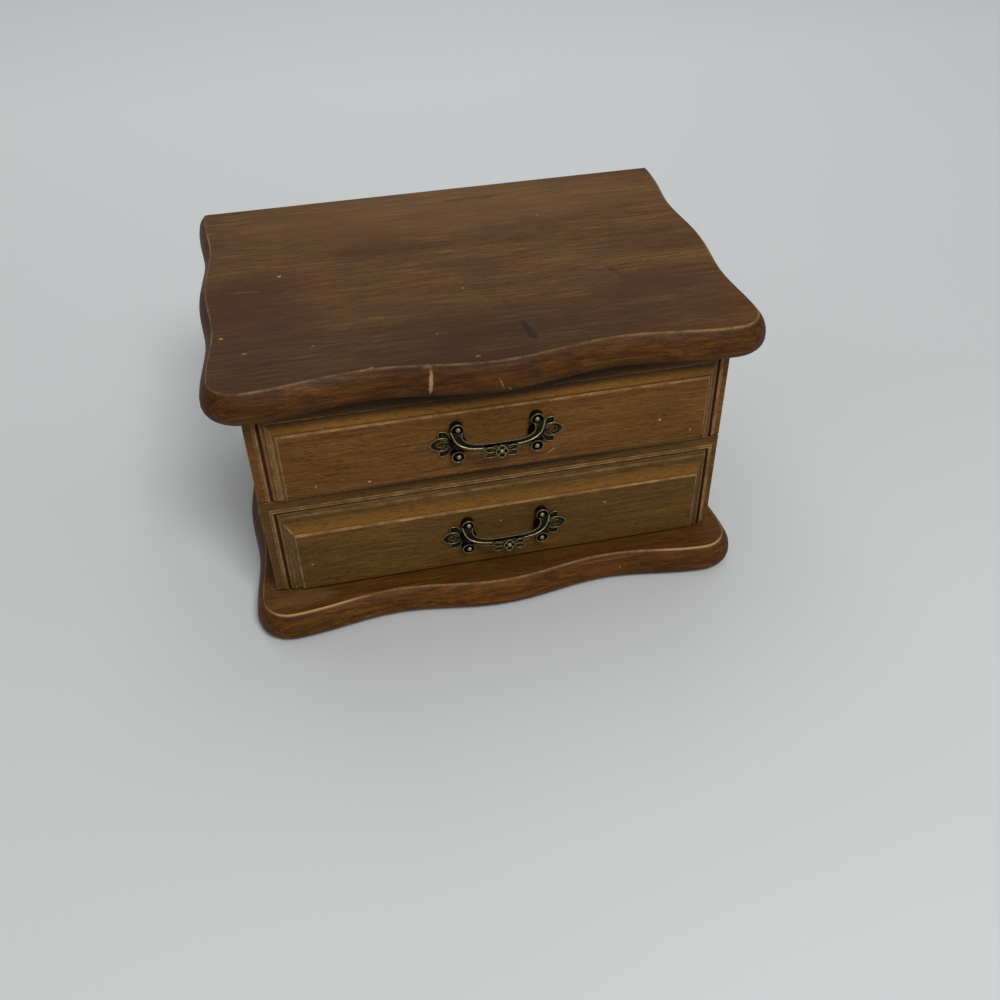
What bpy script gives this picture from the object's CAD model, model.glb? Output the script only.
"""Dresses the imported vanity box: stained boards, moulded fronts, cast pulls, mirror and lining.

Everything is in the frame of the part: origin under the middle of the base, +Z up, -Y towards
the user. Sizes are named in millimetres and turned to metres where a mesh is written.
"""

import logging
import math
from dataclasses import dataclass, replace
from enum import Enum
from typing import Any, Callable, Sequence

import bmesh
import bpy
from mathutils import Matrix, Vector


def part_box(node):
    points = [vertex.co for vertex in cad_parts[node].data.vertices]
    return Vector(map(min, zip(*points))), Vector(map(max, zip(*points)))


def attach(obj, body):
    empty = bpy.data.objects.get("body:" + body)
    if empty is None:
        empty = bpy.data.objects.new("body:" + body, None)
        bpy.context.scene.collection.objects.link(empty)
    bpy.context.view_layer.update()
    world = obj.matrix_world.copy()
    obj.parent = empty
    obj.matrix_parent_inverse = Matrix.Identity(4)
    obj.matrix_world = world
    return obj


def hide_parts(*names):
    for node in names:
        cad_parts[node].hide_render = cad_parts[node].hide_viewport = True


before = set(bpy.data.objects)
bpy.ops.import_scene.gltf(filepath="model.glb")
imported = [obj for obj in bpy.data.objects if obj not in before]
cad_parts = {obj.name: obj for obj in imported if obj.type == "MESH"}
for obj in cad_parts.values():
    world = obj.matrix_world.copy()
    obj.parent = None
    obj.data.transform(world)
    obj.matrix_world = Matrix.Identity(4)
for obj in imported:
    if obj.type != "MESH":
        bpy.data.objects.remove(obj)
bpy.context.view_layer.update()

MM = 0.001
LOG = logging.getLogger("vanity_box")
# the face attribute that says how far a face is rubbed, from 0 to 1
ARRIS = "arris"
# a place, a size or a turn along X, Y and Z
Place = tuple[float, float, float]
# two numbers: a point of an outline, a length and a width, or an angle and a length
Point = tuple[float, float]
# the mask of a coat of colour, its colour, and how it is mixed with what is under it
Coat = tuple[Any, Any, str]


def linear(code: str) -> tuple[float, float, float, float]:
    """Turns an sRGB colour into the linear one that a shader takes.

    Args:
        code: Six hex digits, with or without a leading hash.

    Returns:
        Red, green, blue and an alpha of one.
    """
    digits = code.lstrip("#")
    parts = [int(digits[i:i + 2], 16) / 255 for i in (0, 2, 4)]
    light = [c / 12.92 if c <= 0.04045 else ((c + 0.055) / 1.055) ** 2.4 for c in parts]
    return light[0], light[1], light[2], 1.0


class Graph:
    """The node tree of one material."""

    def __init__(self, name: str) -> None:
        """Starts an empty material.

        Args:
            name: Name of the material.
        """
        self.material = bpy.data.materials.new(name)
        self.material.use_nodes = True
        self.tree = self.material.node_tree
        self.tree.nodes.clear()

    def add(self, kind: str, settings: dict[str, Any] | None = None,
            inputs: dict[Any, Any] | None = None, out: Any = 0) -> Any:
        """Adds one node with its settings and links.

        Args:
            kind: Blender's name of the node.
            settings: Properties to set; "stops" are the places and colours of a ramp.
            inputs: Sockets to link, or values to set, by socket name or number.
            out: The output that is wanted, by name or number.

        Returns:
            That output socket, or None for a node with no output.
        """
        node = self.tree.nodes.new(kind)
        for key, value in (settings or {}).items():
            if key == "stops":
                for _ in range(len(value) - len(node.color_ramp.elements)):
                    node.color_ramp.elements.new(0.5)
                for element, (where, colour) in zip(node.color_ramp.elements, value):
                    element.position, element.color = where, colour
            else:
                setattr(node, key, value)
        for key, value in (inputs or {}).items():
            if isinstance(value, bpy.types.NodeSocket):
                self.tree.links.new(value, node.inputs[key])
            else:
                node.inputs[key].default_value = value
        return node.outputs[out] if len(node.outputs) else None

    def place_in_mm(self) -> Any:
        """Adds the place on the piece, in millimetres, and returns its socket."""
        place = self.add("ShaderNodeTexCoord", out="Object")
        return self.add("ShaderNodeMapping", None, {"Vector": place, "Scale": (1 / MM,) * 3})

    def largest(self, values: Sequence[Any]) -> Any:
        """Finds the largest of some values.

        Args:
            values: Sockets, of which there is at least one.

        Returns:
            The socket with the largest.
        """
        most = values[0]
        for value in values[1:]:
            most = self.add("ShaderNodeMath", {"operation": "MAXIMUM"}, {0: most, 1: value})
        return most

    def finish(self, inputs: dict[Any, Any]) -> bpy.types.Material:
        """Ends the tree with a Principled shader.

        Args:
            inputs: Links and values of the shader.

        Returns:
            The finished material.
        """
        shader = self.add("ShaderNodeBsdfPrincipled", inputs=inputs)
        self.add("ShaderNodeOutputMaterial", inputs={"Surface": shader})
        return self.material


class Grain(Enum):
    """The way the grain of a board runs, as the turn that lays it along X."""

    ALONG_X = (0.0, 0.0, 0.0)
    ALONG_Y = (0.0, 0.0, math.radians(90))


@dataclass(frozen=True)
class Mark:
    """An oval spot of wear: its middle and its three widths in mm, and its turn in degrees."""

    place: Place
    size: Place
    turn: Place = (0.0, 0.0, 0.0)
    strength: float = 1.0


def spots(graph: Graph, where: Any, marks: Sequence[Mark]) -> Any:
    """Builds the mask of some marks.

    Args:
        graph: The tree to build in.
        where: Socket with the place in millimetres.
        marks: The marks, of which there is at least one.

    Returns:
        A socket that is 1 inside a mark and 0 away from them all.
    """
    masks = []
    for mark in marks:
        local = graph.add("ShaderNodeMapping", {"vector_type": "TEXTURE"}, {
            "Vector": where, "Location": mark.place,
            "Rotation": tuple(math.radians(a) for a in mark.turn),
            "Scale": tuple(s / 2 for s in mark.size)})
        far = graph.add("ShaderNodeVectorMath", {"operation": "LENGTH"}, {0: local}, "Value")
        masks.append(graph.add("ShaderNodeMapRange", {"interpolation_type": "SMOOTHSTEP"}, {
            "Value": far, "From Min": 1.15, "From Max": 0.45, "To Max": mark.strength}))
    return graph.largest(masks)


@dataclass(frozen=True)
class Rim:
    """A line up the left end, along the top and down the right end of a front.

    Its three places and its half width are in mm, and its strength is how clearly it shows.
    """

    left: float
    right: float
    top: float
    width: float
    strength: float


@dataclass(frozen=True)
class Bevel:
    """The sloping strips between two lines of a front, with the tones of the top and the ends."""

    outer: Rim
    inner: Rim
    end_tone: str
    shade: float
    top_tone: str = "#875b22"

    def masks(self, graph: Graph, where: Any) -> tuple[Any, Any, Any]:
        """Builds the masks of the strips, which meet in mitres, and of the shade on the top one.

        Args:
            graph: The tree to build in.
            where: Socket with the place in millimetres.

        Returns:
            The masks of the top strip, of the two end strips and of the shade.
        """
        x = graph.add("ShaderNodeSeparateXYZ", None, {"Vector": where}, "X")
        z = graph.add("ShaderNodeSeparateXYZ", None, {"Vector": where}, "Z")

        def share(value: Any, inner: float, outer: float) -> Any:
            """Builds the share of the way from the inner line, at 0, to the outer one, at 1."""
            return graph.add("ShaderNodeMapRange", {"clamp": False}, {
                "Value": value, "From Min": inner, "From Max": outer})

        ends = graph.largest([
            share(x, self.inner.left, self.outer.left), share(x, self.inner.right, self.outer.right)])
        top = share(z, self.inner.top, self.outer.top)
        strips = []
        for own, other in ((top, ends), (ends, top)):
            over = graph.add("ShaderNodeMath", {"operation": "MAXIMUM"}, {0: other, 1: 0.0})
            ahead = graph.add("ShaderNodeMath", {"operation": "GREATER_THAN"}, {0: own, 1: over})
            within = graph.add("ShaderNodeMath", {"operation": "LESS_THAN"}, {0: own, 1: 1.0})
            strips.append(graph.add("ShaderNodeMath", {"operation": "MULTIPLY"}, {0: ahead, 1: within}))
        shade = graph.add("ShaderNodeMapRange", {"interpolation_type": "SMOOTHSTEP"}, {
            "Value": top, "From Min": 0.25, "From Max": 0.95, "To Max": self.shade})
        return strips[0], strips[1], graph.add(
            "ShaderNodeMath", {"operation": "MULTIPLY"}, {0: strips[0], 1: shade})


def rim_lines(graph: Graph, where: Any, rims: Sequence[Rim]) -> Any:
    """Builds the mask of some lines of a front's moulding.

    Args:
        graph: The tree to build in.
        where: Socket with the place in millimetres.
        rims: The lines, of which there is at least one.

    Returns:
        A socket that is above 0 on a line and 0 away from them all.
    """
    x = graph.add("ShaderNodeSeparateXYZ", None, {"Vector": where}, "X")
    z = graph.add("ShaderNodeSeparateXYZ", None, {"Vector": where}, "Z")
    masks = []
    for rim in rims:
        # how far the place is outside the line, past whichever of its three sides is nearest
        out = graph.largest([
            graph.add("ShaderNodeMath", {"operation": "SUBTRACT"}, {0: high, 1: low})
            for high, low in ((rim.left, x), (x, rim.right), (z, rim.top))])
        near = graph.add("ShaderNodeMath", {"operation": "ABSOLUTE"}, {0: out})
        masks.append(graph.add("ShaderNodeMapRange", {"interpolation_type": "SMOOTHSTEP"}, {
            "Value": near, "From Min": rim.width, "From Max": 0.3 * rim.width, "To Max": rim.strength}))
    return graph.largest(masks)


@dataclass(frozen=True)
class StainedWood:
    """Close-grained hardwood, sawn and sanded, stained and thinly varnished.

    What the eye gets: fine dense streaks along the grain, short dark pores, slow cloudy
    changes of the stain, dotted end grain, a satin sheen, and edges rubbed to pale wood.
    """

    name: str
    # the tones of the stain, and those of bare wood, dirt, red stain and the ends of the grain
    ground: str
    streak: str
    glow: str
    cloud: str
    worn: str = "#b08a5c"
    dirt: str = "#150b05"
    russet: str = "#3e2115"
    end: str = "#6d5034"
    grain: Grain = Grain.ALONG_X
    rough: float = 0.5
    gloss: float = 0.12
    # shares: how dark pores are, how far open edges are rubbed, how little of that the least
    # rubbed stretch keeps, and how dark the dirt in a corner is
    pore: float = 0.55
    rub: float = 0.6
    least: float = 0.25
    grime: float = 0.8
    # on a moulded board: the tint of its sides, and the height of its top in mm
    edge_tone: str | None = None
    crown: float = 0.0
    # spots of bare wood, of dirt, of rubbed edge and of red stain
    pale: tuple[Mark, ...] = ()
    dark: tuple[Mark, ...] = ()
    rubbed: tuple[Mark, ...] = ()
    red: tuple[Mark, ...] = ()
    # on a panelled front: its worn lines, its dark lines and its sloping strips
    rims: tuple[Rim, ...] = ()
    grooves: tuple[Rim, ...] = ()
    bevel: Bevel | None = None

    # how long and how wide each part of the pattern is, in mm; real fibres and pores are about
    # half as wide, which wouldn't show
    band_size: Point = (140.0, 8.0)
    streak_size: Point = (26.0, 1.0)
    edge_streak_size: Point = (34.0, 1.7)
    fibre_size: Point = (9.0, 0.42)
    pore_size: Point = (3.0, 0.24)
    cloud_size: Point = (70.0, 30.0)
    sway_size: Point = (83.3, 33.3)
    # the size of the dots of cut grain, of the jags in a frayed outline and of the rubbed patches
    dot_size: float = 0.909
    jag_size: float = 1.111
    patch_size: float = 7.69
    # how far the grain sways, how far marks and lines are frayed, how deep the grain is, and how
    # far round it a place looks for shelter
    sway: float = 6.0
    mark_fray: float = 1.2
    line_fray: float = 0.5
    depth: float = 0.08
    shelter: float = 3.0

    def stretched(self, graph: Graph, where: Any, size: Point, detail: float) -> Any:
        """Adds noise that is stretched along the grain.

        Args:
            graph: The tree to build in.
            where: Socket with the place in millimetres, grain along X.
            size: Length along the grain and width across it, in mm.
            detail: Number of finer layers.

        Returns:
            The socket with the noise.
        """
        long, wide = size
        laid = graph.add("ShaderNodeMapping", None, {
            "Vector": where, "Scale": (1 / long, 1 / wide, 1 / wide)})
        return graph.add("ShaderNodeTexNoise", None, {
            "Vector": laid, "Scale": 1.0, "Detail": detail, "Roughness": 0.6}, "Fac")

    def frayed(self, graph: Graph, mm: Any, by: float) -> Any:
        """Shifts the place a little to and fro, so that a mark laid there has a ragged outline.

        Args:
            graph: The tree to build in.
            mm: Socket with the place in millimetres.
            by: Width of the shift, in mm.

        Returns:
            The socket with the shifted place.
        """
        jag = graph.add("ShaderNodeTexNoise", None, {
            "Vector": mm, "Scale": 1 / self.jag_size, "Detail": 3.0}, "Color")
        ahead = graph.add("ShaderNodeVectorMath", {"operation": "MULTIPLY_ADD"},
                          {0: jag, 1: (by,) * 3, 2: mm})
        return graph.add("ShaderNodeVectorMath", {"operation": "SUBTRACT"}, {0: ahead, 1: (by / 2,) * 3})

    def coated(self, graph: Graph, tone: Any, coats: Sequence[Coat]) -> Any:
        """Lays coats of colour over one another.

        Args:
            graph: The tree to build in.
            tone: The colour under them.
            coats: The coats, in order.

        Returns:
            The socket with the colour that shows.
        """
        for mask, colour, how in coats:
            tone = graph.add("ShaderNodeMix", {"data_type": "RGBA", "blend_type": how},
                             {0: mask, 6: tone, 7: colour}, 2)
        return tone

    def swayed(self, g: Graph, laid: Any) -> Any:
        """Bends the lines of the grain.

        Args:
            g: The tree to build in.
            laid: Socket with the place in millimetres, grain along X.

        Returns:
            The socket with the bent place.
        """
        long, wide = self.sway_size
        slow = g.add("ShaderNodeMapping", None, {"Vector": laid, "Scale": (1 / long, 1 / wide, 1 / wide)})
        drift = g.add("ShaderNodeTexNoise", None, {"Vector": slow, "Scale": 1.0, "Detail": 2.0}, "Color")
        return g.add("ShaderNodeVectorMath", {"operation": "MULTIPLY_ADD"},
                     {0: drift, 1: (0.0, self.sway, self.sway), 2: laid})

    def figure(self, g: Graph, bent: Any, fibres: Any, clouds: Any) -> Any:
        """Builds the colour of the stained grain.

        Args:
            g: The tree to build in.
            bent: Socket with the bent place.
            fibres: Socket with the pattern of the fibres.
            clouds: Socket with the pattern of the clouds.

        Returns:
            The socket with the colour.
        """
        bands = self.stretched(g, bent, self.band_size, 2.0)
        streaks = self.stretched(g, bent, self.streak_size, 3.0)
        both = g.add("ShaderNodeMath", {"operation": "MULTIPLY_ADD"}, {0: bands, 1: 0.4, 2: streaks})
        tone = g.add("ShaderNodeValToRGB", {"stops": [
            (0.40, linear(self.streak)), (0.70, linear(self.ground)), (1.0, linear(self.glow))]},
            {"Fac": both}, "Color")
        cloudy = g.add("ShaderNodeMapRange", None, {
            "Value": clouds, "From Min": 0.42, "From Max": 0.66, "To Max": 0.7})
        fine = g.add("ShaderNodeMapRange", None, {
            "Value": fibres, "From Min": 0.3, "From Max": 0.7, "To Min": 0.76, "To Max": 1.24})
        return self.coated(g, tone, [(cloudy, linear(self.cloud), "MIX"), (1.0, fine, "MULTIPLY")])

    def mottled(self, g: Graph, mm: Any) -> Any:
        """Builds the dots of cut grain.

        Args:
            g: The tree to build in.
            mm: Socket with the place in millimetres.

        Returns:
            A socket with a factor round 1 that darkens or lightens a colour.
        """
        dots = g.add("ShaderNodeTexNoise", None, {
            "Vector": mm, "Scale": 1 / self.dot_size, "Detail": 3.0}, "Fac")
        return g.add("ShaderNodeMapRange", None, {
            "Value": dots, "From Min": 0.35, "From Max": 0.65, "To Min": 0.7, "To Max": 1.25})

    def end_grain(self, g: Graph, dots: Any) -> list[Coat]:
        """Finds where the grain is cut across: its ends show there as a paler, dotted surface.

        Args:
            g: The tree to build in.
            dots: Socket with the dots of cut grain.

        Returns:
            The coat of end grain.
        """
        facing = g.add("ShaderNodeMapping", {"vector_type": "NORMAL"}, {
            "Vector": g.add("ShaderNodeNewGeometry", out="Normal"), "Rotation": self.grain.value})
        along = g.add("ShaderNodeMath", {"operation": "ABSOLUTE"}, {
            0: g.add("ShaderNodeSeparateXYZ", None, {"Vector": facing}, "X")})
        cut = g.add("ShaderNodeMapRange", {"interpolation_type": "SMOOTHSTEP"}, {
            "Value": along, "From Min": 0.2, "From Max": 0.75, "To Max": 0.6})
        ends = self.coated(g, linear(self.end), [(1.0, dots, "MULTIPLY")])
        return [(cut, ends, "MIX")]

    def side_stain(self, g: Graph, mm: Any, laid: Any, tone: Any) -> list[Coat]:
        """Tints the sides of a moulded board, and draws the lines of its grain more strongly.

        Args:
            g: The tree to build in.
            mm: Socket with the place in millimetres.
            laid: The same, grain along X.
            tone: The colour so far.

        Returns:
            The coat on the sides, from a little below the board's top, and not on its underside.
        """
        height = g.add("ShaderNodeSeparateXYZ", None, {"Vector": mm}, "Z")
        below = g.add("ShaderNodeMapRange", None, {
            "Value": height, "From Min": self.crown - 0.5, "From Max": self.crown - 1.3})
        facing = g.add("ShaderNodeNewGeometry", out="Normal")
        level = g.add("ShaderNodeSeparateXYZ", None, {"Vector": facing}, "Z")
        aside = g.add("ShaderNodeMapRange", None, {"Value": level, "From Min": -0.95, "From Max": -0.6})
        sides = g.add("ShaderNodeMath", {"operation": "MULTIPLY"}, {0: below, 1: aside})
        lines = g.add("ShaderNodeMapRange", None, {
            "Value": self.stretched(g, laid, self.edge_streak_size, 3.0),
            "From Min": 0.36, "From Max": 0.64, "To Min": 0.62, "To Max": 1.32})
        warm = self.coated(g, tone, [
            (1.0, linear(self.edge_tone), "MULTIPLY"), (1.0, lines, "MULTIPLY")])
        return [(sides, warm, "MIX")]

    def strip_stain(self, g: Graph, mm: Any, dots: Any) -> list[Coat]:
        """Tints the sloping strips of a panelled front: the top one, the end ones and the shade.

        Args:
            g: The tree to build in.
            mm: Socket with the place in millimetres.
            dots: Socket with the dots of cut grain.

        Returns:
            The coats, in order.
        """
        top, sides, shade = self.bevel.masks(g, mm)
        blotched = self.coated(g, linear(self.bevel.end_tone), [(1.0, dots, "MULTIPLY")])
        coats = []
        for mask, colour, share in ((top, linear(self.bevel.top_tone), 0.7), (sides, blotched, 0.7),
                                    (shade, linear(self.dirt), 1.0)):
            mask = g.add("ShaderNodeMath", {"operation": "MULTIPLY"}, {0: mask, 1: share})
            coats.append((mask, colour, "MIX"))
        return coats

    def brow(self, g: Graph, mm: Any) -> Any:
        """Finds the thin line where the top of a moulded board turns into its side.

        Args:
            g: The tree to build in.
            mm: Socket with the place in millimetres.

        Returns:
            A socket that is above 0 on the line.
        """
        height = g.add("ShaderNodeSeparateXYZ", None, {"Vector": mm}, "Z")
        rise = g.add("ShaderNodeMapRange", None, {
            "Value": height, "From Min": self.crown - 0.85, "From Max": self.crown - 0.35})
        fall = g.add("ShaderNodeMapRange", None, {
            "Value": height, "From Min": self.crown - 0.02, "From Max": self.crown - 0.1})
        return g.add("ShaderNodeMath", {"operation": "MULTIPLY"}, {0: rise, 1: fall})

    def bared(self, g: Graph, mm: Any, shelter: Any) -> Any:
        """Finds the bare wood: edges that stand open, rubbed in patches, and the pale marks.

        Args:
            g: The tree to build in.
            mm: Socket with the place in millimetres.
            shelter: Socket that falls from 1 towards 0 in a corner.

        Returns:
            A socket that is 1 where the wood is bare.
        """
        free = g.add("ShaderNodeMapRange", None, {"Value": shelter, "From Min": 0.55, "From Max": 0.85})
        patch = g.add("ShaderNodeTexNoise", None, {
            "Vector": mm, "Scale": 1 / self.patch_size, "Detail": 6.0, "Roughness": 0.75}, "Fac")
        luck = [g.add("ShaderNodeMapRange", None, {
            "Value": patch, "From Min": 0.42, "From Max": 0.66,
            "To Min": self.least * self.rub, "To Max": 1.2 * self.rub})]
        if self.rubbed:
            luck.append(spots(g, mm, self.rubbed))
        edges = [g.add("ShaderNodeAttribute", {"attribute_name": ARRIS}, out="Fac")]
        if self.edge_tone:
            edges.append(self.brow(g, mm))
        if self.rims:
            edges.append(rim_lines(g, self.frayed(g, mm, self.line_fray), self.rims))
        open_edge = g.add("ShaderNodeMath", {"operation": "MULTIPLY"}, {0: g.largest(edges), 1: free})
        bare = [g.add("ShaderNodeMath", {"operation": "MULTIPLY", "use_clamp": True},
                      {0: open_edge, 1: g.largest(luck)})]
        if self.pale:
            bare.append(spots(g, self.frayed(g, mm, self.mark_fray), self.pale))
        return g.largest(bare)

    def dirtied(self, g: Graph, mm: Any, shelter: Any) -> list[Coat]:
        """Finds the dirt: the dark marks, the dark lines, and what has settled in the corners.

        Args:
            g: The tree to build in.
            mm: Socket with the place in millimetres.
            shelter: Socket that falls from 1 towards 0 in a corner.

        Returns:
            The coats of dirt, in order.
        """
        masks = []
        if self.dark:
            masks.append(spots(g, self.frayed(g, mm, self.mark_fray), self.dark))
        if self.grooves:
            masks.append(rim_lines(g, mm, self.grooves))
        masks.append(g.add("ShaderNodeMapRange", None, {
            "Value": shelter, "From Min": 0.75, "From Max": 0.35, "To Max": self.grime}))
        return [(mask, linear(self.dirt), "MIX") for mask in masks]

    def material(self) -> bpy.types.Material:
        """Builds the material, from the grain out to the wear on it.

        Returns:
            The finished material.
        """
        g = Graph(self.name)
        mm = g.place_in_mm()
        laid = g.add("ShaderNodeMapping", None, {"Vector": mm, "Rotation": self.grain.value})
        bent = self.swayed(g, laid)
        fibres = self.stretched(g, bent, self.fibre_size, 2.0)
        clouds = self.stretched(g, laid, self.cloud_size, 3.0)
        dots = self.mottled(g, mm)
        tone = self.coated(g, self.figure(g, bent, fibres, clouds), self.end_grain(g, dots))
        if self.edge_tone:
            tone = self.coated(g, tone, self.side_stain(g, mm, laid, tone))
        if self.bevel:
            tone = self.coated(g, tone, self.strip_stain(g, mm, dots))
        if self.red:
            tone = self.coated(g, tone, [(spots(g, mm, self.red), linear(self.russet), "MIX")])

        pores = g.add("ShaderNodeMapRange", {"interpolation_type": "SMOOTHSTEP"}, {
            "Value": self.stretched(g, bent, self.pore_size, 0.0),
            "From Min": 0.58, "From Max": 0.70, "To Max": self.pore})
        shelter = g.add("ShaderNodeAmbientOcclusion", {"samples": 6, "only_local": True},
                        {"Distance": self.shelter * MM}, "AO")
        bare = self.bared(g, mm, shelter)
        tone = self.coated(g, tone, [
            (pores, linear(self.dirt), "MIX"), (bare, linear(self.worn), "MIX"),
            *self.dirtied(g, mm, shelter)])

        rough = g.add("ShaderNodeMapRange", None, {
            "Value": clouds, "From Min": 0.3, "From Max": 0.7,
            "To Min": self.rough - 0.05, "To Max": self.rough + 0.08})
        rough = g.add("ShaderNodeMath", {"operation": "MULTIPLY_ADD", "use_clamp": True},
                      {0: bare, 1: 0.25, 2: rough})
        relief = g.add("ShaderNodeMath", {"operation": "MULTIPLY_ADD"}, {0: pores, 1: -1.0, 2: fibres})
        relief = g.add("ShaderNodeMath", {"operation": "MULTIPLY_ADD"}, {0: bare, 1: -0.5, 2: relief})
        bump = g.add("ShaderNodeBump", None, {
            "Height": relief, "Strength": 0.5, "Distance": self.depth * MM})
        return g.finish({"Base Color": tone, "Roughness": rough, "Normal": bump,
                         "Specular IOR Level": self.gloss})


@dataclass(frozen=True)
class AntiqueBrass:
    """Cast brass, blackened by a bath and rubbed on its relief.

    What the eye gets: near-black hollows, dark olive flats, and pale gold lines where the
    relief, marked on the mesh, stands free. The grit of the mould is drawn a few times coarser
    than it is, so that it shows.
    """

    name: str
    hollow: str = "#090807"
    flat: str = "#1e1a12"
    relief: str = "#b9a876"
    rough: float = 0.34
    # the size of the grit, how deep it is, and how far round it a place looks for shelter, in mm
    grit: float = 0.625
    depth: float = 0.12
    shelter: float = 1.6

    def material(self) -> bpy.types.Material:
        """Builds the material.

        Returns:
            The finished material.
        """
        g = Graph(self.name)
        mm = g.place_in_mm()
        grains = g.add("ShaderNodeTexNoise", None, {
            "Vector": mm, "Scale": 1 / self.grit, "Detail": 4.0}, "Fac")
        shade = g.add("ShaderNodeAmbientOcclusion", {"samples": 8, "only_local": True},
                      {"Distance": self.shelter * MM}, "AO")
        height = g.add("ShaderNodeMath", {"operation": "MULTIPLY_ADD"}, {0: grains, 1: 0.6, 2: shade})
        tone = g.add("ShaderNodeValToRGB", {"stops": [
            (0.62, linear(self.hollow)), (1.0, linear(self.flat))]}, {"Fac": height}, "Color")
        raised = g.add("ShaderNodeAttribute", {"attribute_name": ARRIS}, out="Fac")
        open_to = g.add("ShaderNodeMapRange", None, {"Value": height, "From Min": 0.98, "From Max": 1.4})
        polish = g.add("ShaderNodeMath", {"operation": "MULTIPLY"}, {0: raised, 1: open_to})
        tone = g.add("ShaderNodeMix", {"data_type": "RGBA"}, {0: polish, 6: tone, 7: linear(self.relief)}, 2)
        rough = g.add("ShaderNodeMapRange", None, {
            "Value": polish, "To Min": self.rough + 0.14, "To Max": self.rough})
        bump = g.add("ShaderNodeBump", None, {
            "Height": grains, "Strength": 0.4, "Distance": self.depth * MM})
        return g.finish({"Base Color": tone, "Metallic": 0.92, "Roughness": rough, "Normal": bump})


@dataclass(frozen=True)
class PlainMetal:
    """Rolled brass or plated steel, as hinges and screws are made of.

    What the eye gets: an even metal with faint cloudy tarnish and fine rub marks.
    """

    name: str
    bright: str
    dull: str
    rough: float = 0.32
    # the size of a cloud of tarnish, the length and width of a rub mark, how deep it is, and
    # the radius that the edges seem to have, in mm
    tarnish: float = 2.857
    rub_mark: Point = (3.333, 0.2)
    depth: float = 0.03
    edge: float = 0.15

    def material(self) -> bpy.types.Material:
        """Builds the material.

        Returns:
            The finished material.
        """
        g = Graph(self.name)
        mm = g.place_in_mm()
        cloud = g.add("ShaderNodeTexNoise", None, {
            "Vector": mm, "Scale": 1 / self.tarnish, "Detail": 4.0}, "Fac")
        long, wide = self.rub_mark
        rubbed = g.add("ShaderNodeMapping", None, {"Vector": mm, "Scale": (1 / long, 1 / wide, 1 / wide)})
        lines = g.add("ShaderNodeTexNoise", None, {"Vector": rubbed, "Scale": 1.0, "Detail": 1.0}, "Fac")
        tone = g.add("ShaderNodeValToRGB", {"stops": [
            (0.38, linear(self.dull)), (0.6, linear(self.bright))]}, {"Fac": cloud}, "Color")
        rough = g.add("ShaderNodeMapRange", None, {
            "Value": lines, "From Min": 0.3, "From Max": 0.7,
            "To Min": self.rough - 0.06, "To Max": self.rough + 0.12})
        edge = g.add("ShaderNodeBevel", {"samples": 4}, {"Radius": self.edge * MM})
        bump = g.add("ShaderNodeBump", None, {
            "Height": lines, "Strength": 0.2, "Distance": self.depth * MM, "Normal": edge})
        return g.finish({"Base Color": tone, "Metallic": 1.0, "Roughness": rough, "Normal": bump})


@dataclass(frozen=True)
class SilveredGlass:
    """Plate glass with a silvered back.

    What the eye gets: a clear reflection, faintly green, with a few grey spots of old silver.
    """

    name: str
    silver: str = "#dfe6e4"
    spot: str = "#7d7f7a"
    spot_size: float = 4.0

    def material(self) -> bpy.types.Material:
        """Builds the material.

        Returns:
            The finished material.
        """
        g = Graph(self.name)
        mm = g.place_in_mm()
        age = g.add("ShaderNodeTexNoise", None, {
            "Vector": mm, "Scale": 1 / self.spot_size, "Detail": 6.0, "Roughness": 0.75}, "Fac")
        mask = g.add("ShaderNodeMapRange", None, {
            "Value": age, "From Min": 0.70, "From Max": 0.78, "To Max": 0.7})
        tone = g.add("ShaderNodeMix", {"data_type": "RGBA"},
                     {0: mask, 6: linear(self.silver), 7: linear(self.spot)}, 2)
        rough = g.add("ShaderNodeMapRange", None, {"Value": mask, "To Min": 0.015, "To Max": 0.3})
        return g.finish({"Base Color": tone, "Metallic": 1.0, "Roughness": rough})


@dataclass(frozen=True)
class Pile:
    """Velvet or felt: short dense fibres on a woven or pressed ground.

    What the eye gets: a soft sheen where the pile leans away, brushed clouds of lighter and
    darker tone, and a fine fuzzy grain, drawn far coarser than a real fibre, so that it shows.
    """

    name: str
    deep: str
    lit: str
    sheen: float
    # the size of a drawn fibre and of a brushed cloud, and how deep the pile is, in mm
    fibre: float = 0.5
    cloud: float = 20.0
    depth: float = 0.3

    def material(self) -> bpy.types.Material:
        """Builds the material.

        Returns:
            The finished material.
        """
        g = Graph(self.name)
        mm = g.place_in_mm()
        brushed = g.add("ShaderNodeTexNoise", None, {
            "Vector": mm, "Scale": 1 / self.cloud, "Detail": 3.0, "Distortion": 1.2}, "Fac")
        fuzz = g.add("ShaderNodeTexNoise", None, {
            "Vector": mm, "Scale": 1 / self.fibre, "Detail": 3.0, "Roughness": 0.8}, "Fac")
        both = g.add("ShaderNodeMath", {"operation": "MULTIPLY_ADD"}, {0: fuzz, 1: 0.6, 2: brushed})
        tone = g.add("ShaderNodeValToRGB", {"stops": [
            (0.62, linear(self.deep)), (1.0, linear(self.lit))]}, {"Fac": both}, "Color")
        bump = g.add("ShaderNodeBump", None, {
            "Height": fuzz, "Strength": 0.7, "Distance": self.depth * MM})
        return g.finish({"Base Color": tone, "Roughness": 0.92, "Normal": bump,
                         "Sheen Weight": self.sheen, "Sheen Roughness": 0.4,
                         "Sheen Tint": linear(self.lit), "Specular IOR Level": 0.15})


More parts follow.
